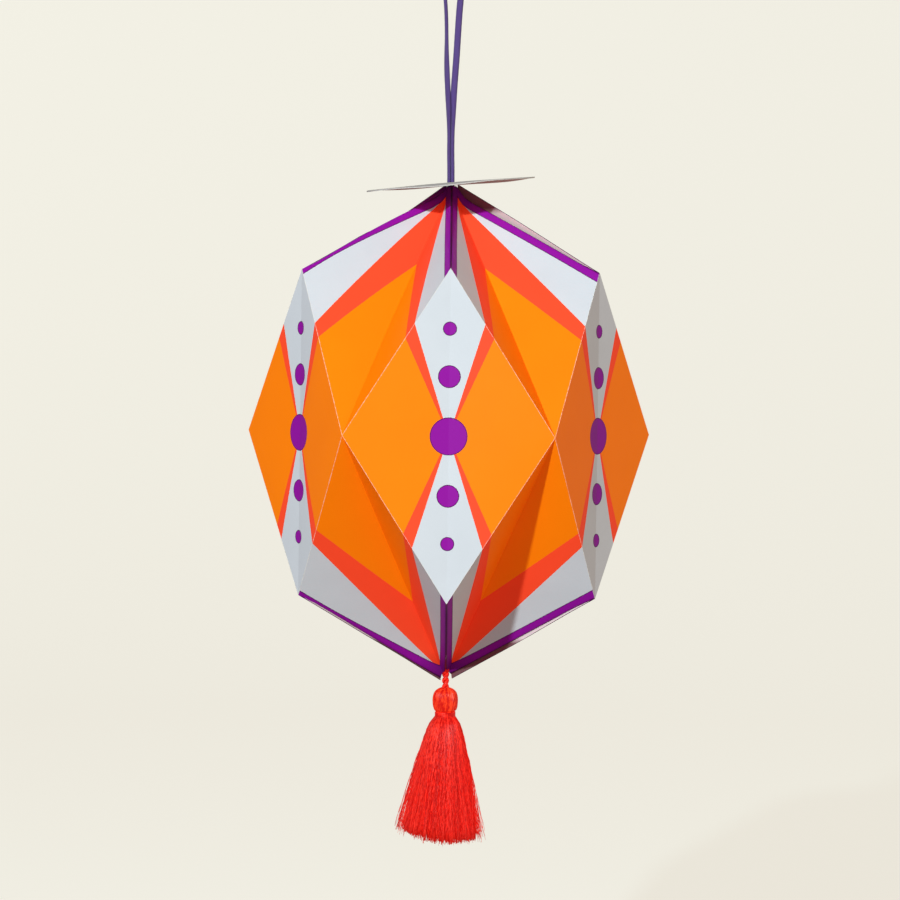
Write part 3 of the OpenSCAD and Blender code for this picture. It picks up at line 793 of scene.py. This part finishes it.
disc_grid = disc_surface()
disc_turn = Matrix.Rotation(-disc_roll, 3, "Y") @ Matrix.Rotation(disc_pitch, 3, "X")
disc_points = disc_grid @ np.array(disc_turn).T + np.array(disc_middle) + [disc_aside, 0, disc_lift]
rows, columns = disc_points.shape[:2]
disc = make_piece("top_disc_card", disc_points, [grid_quads(rows, columns, True, True)], [disc_card])
disc.data.set_sharp_from_angle(angle=math.radians(50))
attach(disc, "root")
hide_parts("top_disc")

# %% [markdown]
# The tassel's thread is rayon: smooth, so it throws small bright highlights along itself. Each
# thread has its own shade, which the mesh holds as a number for each point.

# %% Thread finish
def thread_finish(name, dark, bright, roughness=0.36):
    """Glossy thread whose colour goes from dark to bright with the shade of its points."""
    material, tree, shader = new_finish(name, roughness=roughness, specular=0.28, sheen=0.03)
    # painted light: every thread glows faintly red, so it stays bright even in shade
    shader.inputs["Emission Color"].default_value = (1.0, 0.012, 0.006, 1.0)
    shader.inputs["Emission Strength"].default_value = 0.31
    shade = add_node(tree, "ShaderNodeAttribute", attribute_name="shade").outputs["Fac"]
    fluff = speckle(tree, object_place(tree), 1100.0, detail=2.0, stretch=(1, 1, 0.45))
    share = sums(tree, "MULTIPLY_ADD", fluff, 2.8, sums(tree, "MULTIPLY_ADD", shade, 1.5, -1.7), clamp=True)
    tree.links.new(blend_colours(tree, share, dark, bright), shader.inputs["Base Color"])
    add_bump(tree, shader, [(fluff, 0.05 * mm, 0.5)])
    return material


thread_red = thread_finish("rayon_thread", ink(168, 0, 2), ink(255, 64, 46))
thread_head = thread_finish("rayon_head", ink(178, 4, 0), ink(255, 80, 34))
# the core, inner threads and knot get a darker copy of the thread's colour: painted shade
thread_core_shaded = thread_finish("rayon_core_shaded", ink(150, 0, 2), ink(214, 8, 8), roughness=0.5)

# %% [markdown]
# The tassel hangs on a short twisted cord: two plies that wind round each other, each a round
# profile carried along a helix.

# %% Tassel cord
cord_low, cord_high = (np.array(corner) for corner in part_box("tassel_cord"))
ply_r = (cord_high[0] - cord_low[0]) / 4 * 1.2
ply_pitch = 6.5 * mm


def helix(radius, pitch, low, high, phase, steps_per_turn=20):
    """A helix about the Z axis, with its outward directions."""
    turns = (high - low) / pitch
    t = np.linspace(0, 1, int(turns * steps_per_turn) + 2)
    angle = 2 * np.pi * turns * t + phase
    out = np.stack([np.cos(angle), np.sin(angle), np.zeros_like(t)], -1)
    path = radius * out
    path[:, 2] = low + (high - low) * t
    return path, out


def round_profile(radius, sides):
    """A circle's points."""
    angle = 2 * np.pi * np.arange(sides) / sides
    return radius * np.stack([np.cos(angle), np.sin(angle)], -1)


def tubes(parts, start=0):
    """Points and faces of several closed tubes, their ends closed, numbered one after another."""
    points = []
    faces = []
    for part in parts:
        rows, sides = part.shape[:2]
        faces += [grid_quads(rows, sides, closed_columns=True) + start]
        faces += [np.arange(sides)[None, ::-1] + start, (np.arange(sides) + (rows - 1) * sides)[None] + start]
        points.append(part.reshape(-1, 3))
        start += rows * sides
    return np.concatenate(points), faces


plies = [carry(*helix(ply_r, ply_pitch, cord_low[2], cord_high[2], phase), round_profile(ply_r, 14))
         for phase in (0, math.pi)]
ply_points, ply_faces = tubes(plies)
ply_shade = 0.5 + 0.3 * np.sin(np.arange(len(ply_points)) * 2 * np.pi / 14 * 3)
tassel_cord = make_piece("tassel_twist", ply_points, ply_faces, [thread_red], shade=ply_shade)
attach(tassel_cord, "root")
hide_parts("tassel_cord")

# %% [markdown]
# The head is the same threads, laid over the cord's knot and drawn together at the neck, so its
# surface is ridged from top to bottom. The ridges wander a little and are not all alike.

# %% Tassel head
head_low, head_high = (np.array(corner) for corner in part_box("tassel_head"))
binding_low, binding_high = (np.array(corner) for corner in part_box("tassel_binding"))
head_r = (head_high[0] - head_low[0]) / 2
head_ridges = 54
head_profile = [(0.1, 0.0), (0.3, 0.01), (0.54, 0.06), (0.75, 0.14), (0.9, 0.25), (0.98, 0.4), (1.0, 0.55),
                (0.98, 0.72), (0.94, 0.85), (0.87, 0.94), (0.76, 1.0), (0.7, 1.1), (0.68, 1.25)]


def head_surface(columns=head_ridges * 6):
    """Down and round: the radius follows a smooth curve through the profile's shares of the head's
    radius and height; ridges are rounded humps, sin squared of the angle, each with its own
    height and its own tint, and the tint is painted darker in the grooves between them, as painted shade."""
    line = smooth_path([(r, 0, h) for r, h in head_profile], 6)
    way = line[:, 2:]
    angle = 2 * np.pi * np.arange(columns)[None] / columns
    bent = angle + 0.06 * np.sin(3 * angle + 4 * way) + 0.04 * np.sin(7 * angle - 7 * way)
    ridge = np.sin(bent * head_ridges / 2) ** 2
    own = np.floor(bent * head_ridges / (2 * np.pi)).astype(int) % head_ridges
    height = rng.uniform(0.3, 1.0, head_ridges)[own]
    swell = 1 + 0.03 * np.sin(2 * angle + 1) + 0.02 * np.sin(5 * angle)
    radius = head_r * line[:, :1] * swell - 0.4 * mm * (1 - ridge * height) * np.clip(line[:, :1] * 1.4, 0, 1)
    z = head_high[2] - (head_high[2] - binding_high[2]) * way
    # the tint is painted darker in the grooves between ridges: painted shade
    tint = rng.uniform(0, 1, head_ridges)[own] * 0.75 + 0.35 * ridge - 0.1
    return np.stack(np.broadcast_arrays(radius * np.cos(angle), radius * np.sin(angle), z), -1), tint


head_grid, head_tint_and_groove_shade = head_surface()
rows, columns = head_grid.shape[:2]
head_faces = [grid_quads(rows, columns, closed_columns=True)[:, ::-1], np.arange(columns)[None],
              (rows * columns - 1 - np.arange(columns))[None]]
head = make_piece("tassel_head_threads", head_grid, head_faces, [thread_head], shade=head_tint_and_groove_shade)
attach(head, "root")
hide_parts("tassel_head")

# %% [markdown]
# The binding is one thread wound seven times round the neck, a round profile on a tight helix.

# %% Tassel binding
binding_turns = 7
wound_r = (binding_high[2] - binding_low[2]) / (2 * binding_turns)
binding_r = (binding_high[0] - binding_low[0]) / 2 - wound_r
winding = helix(binding_r, 2 * wound_r, binding_low[2] + wound_r, binding_high[2] - wound_r, 0.6, 72)
wound_points, wound_faces = tubes([carry(*winding, round_profile(wound_r * 1.06, 10))])
wound_shade = 0.35 + 0.25 * np.sin(np.arange(len(wound_points)) / 37)
binding = make_piece("tassel_winding", wound_points, wound_faces, [thread_red], shade=wound_shade)
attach(binding, "root")
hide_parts("tassel_binding")

# %% [markdown]
# The skirt is some 2,700 threads that spread from the neck and fall straight down. Each is a
# thin three-sided tube with a few rings, so all of them stay a light mesh. A thread keeps its own
# share of the skirt's radius and its own bearing all the way down; near the hem it sways a little
# and ends a little early or late. A soft core fills the middle, where threads lie packed.

# %% Skirt: the paths of its threads
skirt_low, skirt_high = (np.array(corner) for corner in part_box("tassel_skirt"))
skirt_l = skirt_high[2] - skirt_low[2]
body_r = 17.7 * mm
skirt_top_r = 5.0 * mm
skirt_lean = math.tan(math.radians(1.7))


def skirt_radius(t):
    """The radius of the skirt's body at share t of its length: it spreads most below the binding."""
    return skirt_top_r + (body_r - skirt_top_r) * t**0.62


def thread_paths(count, inner, outer, fringe, rings):
    """Threads by ring: at share t a thread lies at its share of the body's radius, on its bearing
    plus a slow drift; a fringe thread strays outward with t to the 1.6. A quick wave makes its
    crimp and a slow one its sway, which grows with t; all lean to one side."""
    t = np.linspace(0, 1, rings)[None]
    share = np.sqrt(rng.uniform(inner**2, outer**2, (count, 1)))
    bearing = rng.uniform(0, 2 * np.pi, (count, 1))
    lock = np.round(bearing / (2 * np.pi) * 29) / 29 * 2 * np.pi
    bearing = bearing + 0.4 * (lock - bearing) * t + rng.normal(0, 0.05, (count, 1)) * t
    length = skirt_l * np.clip(rng.normal(0.95, 0.02, (count, 1)), 0.85, 0.985)
    length = length * (1 - 0.06 * np.clip(-np.cos(bearing - 0.2), 0, 1) ** 2 * share)
    phase = rng.uniform(0, 2 * np.pi, (count, 1))
    crimp = 0.45 * mm * np.sin(phase * 5 + rng.uniform(26, 44, (count, 1)) * t) * soft_step(t, 0.02, 0.2)
    sway = rng.uniform(0, 0.9 * mm, (count, 1)) * t**1.5
    wave = sway * np.sin(phase + rng.uniform(2, 7, (count, 1)) * t) + crimp
    radius = skirt_radius(t) * share + rng.uniform(0, fringe, (count, 1)) * t**1.6 + wave * 0.5
    fall = length * (t - 0.035 * share * np.sin(np.pi * t))
    x = radius * np.cos(bearing) - wave * np.sin(bearing) - fall * skirt_lean
    y = radius * np.sin(bearing) + wave * np.cos(bearing)
    return np.stack([x, y, skirt_high[2] + 0.6 * mm * (1 - t) - fall], -1)


def skirt_threads(name, count, inner, outer, thread_r, material, rings, fringe=0.0):
    """Threads as three-sided tubes, their ends closed, with a shade for each thread."""
    paths = thread_paths(count, inner, outer, fringe, rings)
    side = np.stack([-paths[..., 1], paths[..., 0], 0 * paths[..., 0]], -1) + [1e-6, 0, 0]
    thin = thread_r * (1 - 0.35 * np.linspace(0, 1, paths.shape[1]) ** 3)
    profile = round_profile(1.0, 3)[None, None] * thin[None, :, None, None]
    points = carry(paths, unit(side), profile)
    one = grid_quads(rings, 3, closed_columns=True)
    ends = np.array([[2, 1, 0], [3 * rings - 3, 3 * rings - 2, 3 * rings - 1]])
    offset = (3 * rings * np.arange(count))[:, None, None]
    faces = [(one[None] + offset).reshape(-1, 4), (ends[None] + offset).reshape(-1, 3)]
    shade = np.repeat(rng.uniform(0, 1, count), 3 * rings)
    piece = make_piece(name, points, faces, [material], shade=shade)
    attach(piece, "root")
    return piece


outer_threads = skirt_threads("skirt_outer_threads", 1500, 0.88, 1.02, 0.28 * mm, thread_red, 16)
fringe_threads = skirt_threads("skirt_fringe_threads", 520, 0.9, 1.0, 0.12 * mm, thread_red, 16,
                               fringe=6.2 * mm)
inner_threads = skirt_threads("skirt_inner_threads", 700, 0.4, 0.9, 0.26 * mm, thread_core_shaded, 10)
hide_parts("tassel_skirt")

# %% Skirt: its core
def skirt_core(rows=40, columns=144):
    """Down and round: 0.86 of the body's radius, fluted more towards the hem."""
    t = np.linspace(0, 0.93, rows)[:, None]
    angle = 2 * np.pi * np.arange(columns)[None] / columns
    flutes = 0.5 + 0.3 * np.cos(23 * angle) + 0.2 * np.cos(41 * angle + 2)
    radius = skirt_radius(t) * 0.86 - 1.6 * mm * t * flutes
    radius = radius * (1 - soft_step(t, 0.86, 0.93) * 0.25)
    fall = skirt_l * t
    x = radius * np.cos(angle) - fall * skirt_lean
    return np.stack(np.broadcast_arrays(x, radius * np.sin(angle), skirt_high[2] - fall), -1)


core_grid = skirt_core()
rows, columns = core_grid.shape[:2]
core_faces = [grid_quads(rows, columns, closed_columns=True)[:, ::-1], np.arange(columns)[None],
              (rows * columns - 1 - np.arange(columns))[None]]
core = make_piece("skirt_core", core_grid, core_faces, [thread_core_shaded],
                  shade=rng.uniform(0, 1, rows * columns))
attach(core, "root")
knot_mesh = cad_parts["tassel_knot"].data
knot_mesh.materials.clear()
knot_mesh.materials.append(thread_core_shaded)

# %% [markdown]
# The lantern hangs over a plain pale floor that sweeps up on all sides into a low round wall, so
# every view has a quiet ground. It is one profile turned about the lantern's axis.

# %% Floor and backdrop
floor_gap = 160 * mm
floor_z = cad_box[0][2] - floor_gap
wall_r = 3.0
sweep_r = 1.2
wall_h = 2.2


def backdrop_surface(columns=96, steps=24):
    """The profile runs out along the floor, round a quarter circle and up the wall; a second
    parameter turns it about the axis."""
    quarter = np.linspace(0, np.pi / 2, steps)
    out = np.concatenate([[0.0001, 0.5, 1.0], wall_r - sweep_r + sweep_r * np.sin(quarter), [wall_r]])
    high = np.concatenate([[0, 0, 0], sweep_r - sweep_r * np.cos(quarter), [wall_h]]) + floor_z
    angle = 2 * np.pi * np.arange(columns) / columns
    return np.stack([out[:, None] * np.cos(angle), out[:, None] * np.sin(angle),
                     np.broadcast_to(high[:, None], (len(out), columns))], -1)


pale_floor, tree, shader = new_finish("pale_floor", roughness=0.85, specular=0.2)
floor_noise = speckle(tree, object_place(tree), 3.0, detail=4.0)
floor_share = sums(tree, "MULTIPLY", floor_noise, 0.5)
floor_colour = blend_colours(tree, floor_share, ink(148, 160, 162), ink(142, 154, 156))
tree.links.new(floor_colour, shader.inputs["Base Color"])
shader.inputs["Emission Color"].default_value = ink(243, 238, 225)
shader.inputs["Emission Strength"].default_value = 0.84
ground = backdrop_surface()
rows, columns = ground.shape[:2]
backdrop = make_piece("backdrop", ground, [grid_quads(rows, columns, closed_columns=True)], [pale_floor])
backdrop.visible_diffuse = False
backdrop.visible_glossy = False

# %% [markdown]
# One lamp, up on the left behind the camera, gives the lantern its crisp inner shadows. The rest is
# the light of a bright room, held in the world: six soft lobes, one from each side, each as strong
# as the cosine of the angle to it squared, so that equal lobes would add up to an even light.

# %% Lights
def toward(azimuth, elevation, distance):
    """A place round the lantern: azimuth 0 is straight ahead of it, towards the camera, and grows to
    the right."""
    a = math.radians(azimuth)
    e = math.radians(elevation)
    return Vector((math.cos(e) * math.sin(a), -math.cos(e) * math.cos(a), math.sin(e))) * distance


key_data = bpy.data.lights.new("key_lamp", "AREA")
key_data.shape = "DISK"
key_data.size = 0.07
key_data.energy = 31.5
key_data.color = (0.86, 0.99, 1.0)
key_lamp = bpy.data.objects.new("key_lamp", key_data)
key_place = toward(-21, 22, 2.0)
key_lamp.location = lantern_middle + key_place
key_lamp.rotation_euler = key_place.to_track_quat("Z", "Y").to_euler()
key_lamp.visible_camera = False
bpy.context.scene.collection.objects.link(key_lamp)

room_lobes = {
    "front": (1, -1, (0.46, 0.43, 0.40)),
    "behind": (1, 1, (0.34, 0.33, 0.31)),
    "left": (0, -1, (0.18, 0.10, 0.09)),
    "right": (0, 1, (0.74, 0.62, 0.50)),
    "above": (2, 1, (0.06, 0.04, 0.04)),
    "below": (2, -1, (0.04, 0.03, 0.03)),
}


def room_light(lobes):
    """A world whose light from a direction is the sum of its lobes."""
    world = bpy.data.worlds.new("room")
    world.use_nodes = True
    tree = world.node_tree
    looking = tree.nodes.new("ShaderNodeTexCoord").outputs["Generated"]
    parts = add_node(tree, "ShaderNodeSeparateXYZ", {0: looking}).outputs
    total = None
    for name, (axis, sign, colour) in lobes.items():
        facing = sums(tree, "MULTIPLY", parts[axis], sign, clamp=True)
        share = sums(tree, "MULTIPLY", facing, facing)
        lobe = add_node(tree, "ShaderNodeVectorMath", {0: colour, 3: share}, operation="SCALE", label=name)
        lobe = lobe.outputs[0]
        total = lobe if total is None else add_node(
            tree, "ShaderNodeVectorMath", {0: total, 1: lobe}, operation="ADD").outputs[0]
    tree.links.new(total, tree.nodes["Background"].inputs["Color"])
    return world


bpy.context.scene.world = room_light(room_lobes)
bpy.context.scene.view_settings.view_transform = "Standard"
